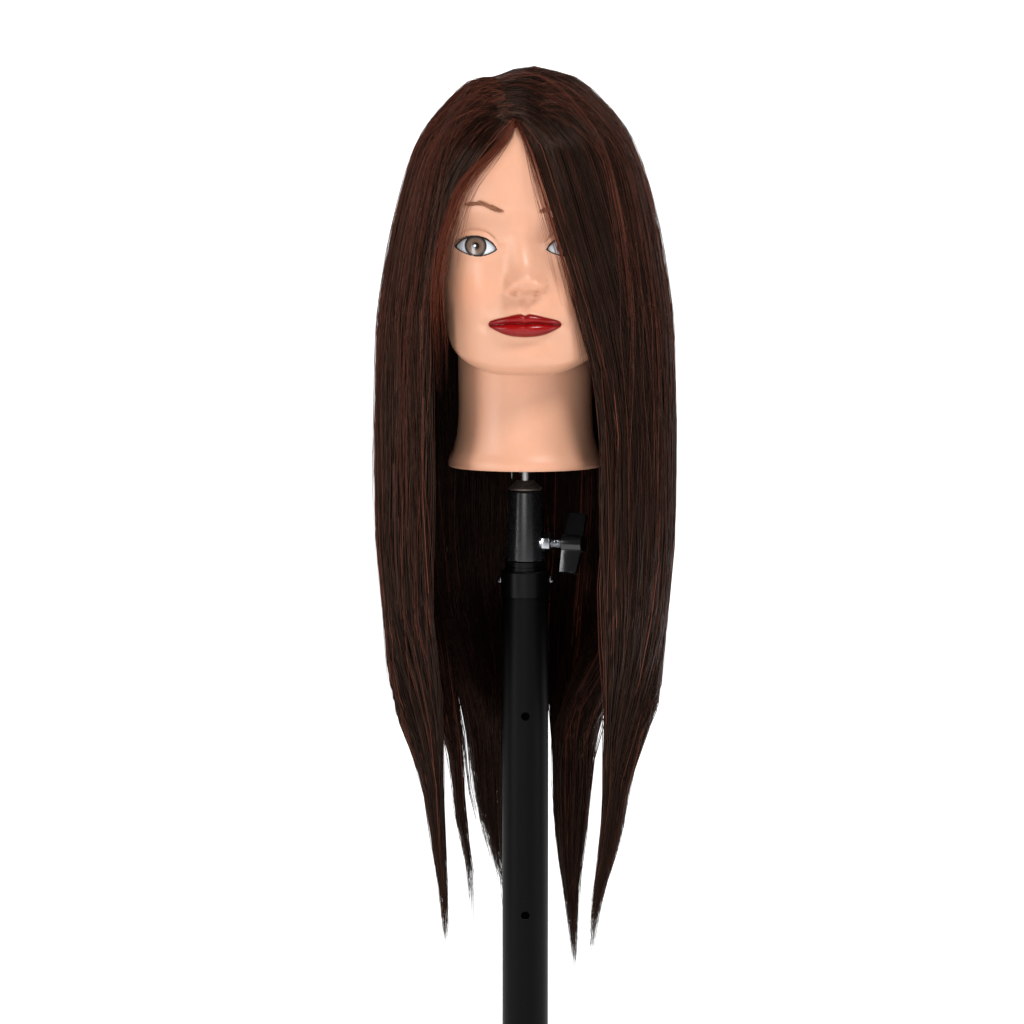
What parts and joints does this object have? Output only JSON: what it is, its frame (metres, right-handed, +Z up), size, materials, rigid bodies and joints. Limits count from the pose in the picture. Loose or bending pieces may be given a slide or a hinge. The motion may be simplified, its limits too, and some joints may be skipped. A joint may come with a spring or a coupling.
{
  "type": "mannequin training head",
  "caption": "Hairdressing mannequin head with long straight side-parted hair, on a clamp holder with a wing screw and a round post section.",
  "frame": {"origin": "centre of the post's lower end, on the one axis that the post, the holder sleeve, the spigot rod and the neck share", "axes": "+Z up along the post, the face looks towards -Y, and the head's own left is +X"},
  "size_m": [0.2284, 0.215, 0.7845],
  "materials": {
    "satin_black_steel": "satin",
    "black_moulding": "satin",
    "bright_screws": "polished",
    "gloss_black_sleeve": "gloss",
    "bush_steel": "satin",
    "chrome_clamp": "polished",
    "brass_pad": "satin",
    "gloss_black_knob": "gloss",
    "rod_steel": "polished",
    "seat_metal": "matte",
    "neck_plug_plastic": "matte",
    "eye_acrylic": "gloss",
    "vinyl_skin": "satin",
    "hair_fibre": "satin"
  },
  "bodies": {
    "stand": {"post_tube": "satin_black_steel", "post_cap": "black_moulding", "cap_screws": "bright_screws", "collar_ring": "black_moulding", "holder_sleeve": "gloss_black_sleeve", "sleeve_bush": "bush_steel", "tie_bolt": "bush_steel", "clamp_nut": "chrome_clamp"},
    "clamp_pad": {"clamp_pad": "brass_pad"},
    "wing_screw": {"wing_screw": "chrome_clamp", "wing_knob": "gloss_black_knob"},
    "spigot": {"spigot_rod": "rod_steel", "rod_seat": "seat_metal"},
    "head": {"head_skin": "vinyl_skin", "neck_plug": "neck_plug_plastic", "socket_bush": "bush_steel", "left_eye": "eye_acrylic", "right_eye": "eye_acrylic", "hair_fringe_left": "hair_fibre", "hair_temple_right": "hair_fibre", "hair_crown_left": "hair_fibre", "hair_crown_right": "hair_fibre", "hair_side_left": "hair_fibre", "hair_side_right": "hair_fibre", "hair_back_left": "hair_fibre", "hair_back_right": "hair_fibre", "hair_nape": "hair_fibre"}
  },
  "joints": [
    {"name": "clamp_travel", "type": "slide", "parent": "stand", "child": "clamp_pad", "axis": [0.9397, -0.342, 0], "range_m": [0, 0.005]},
    {"name": "wing_turn", "type": "hinge", "parent": "clamp_pad", "child": "wing_screw", "pos_m": [0, 0, 0.426], "axis": [0.9397, -0.342, 0], "range_deg": [0, 1440]},
    {"name": "head_turn", "type": "hinge", "parent": "stand", "child": "spigot", "pos_m": [0, 0, 0.4655], "axis": [0, 0, 1], "continuous": true},
    {"name": "head_lift", "type": "slide", "parent": "spigot", "child": "head", "axis": [0, 0, 1], "range_m": [0, 0.095]}
  ],
  "couplings": [
    {"joint": "clamp_travel", "follows": "wing_turn", "m_per_rad": 0.00019894}
  ]
}
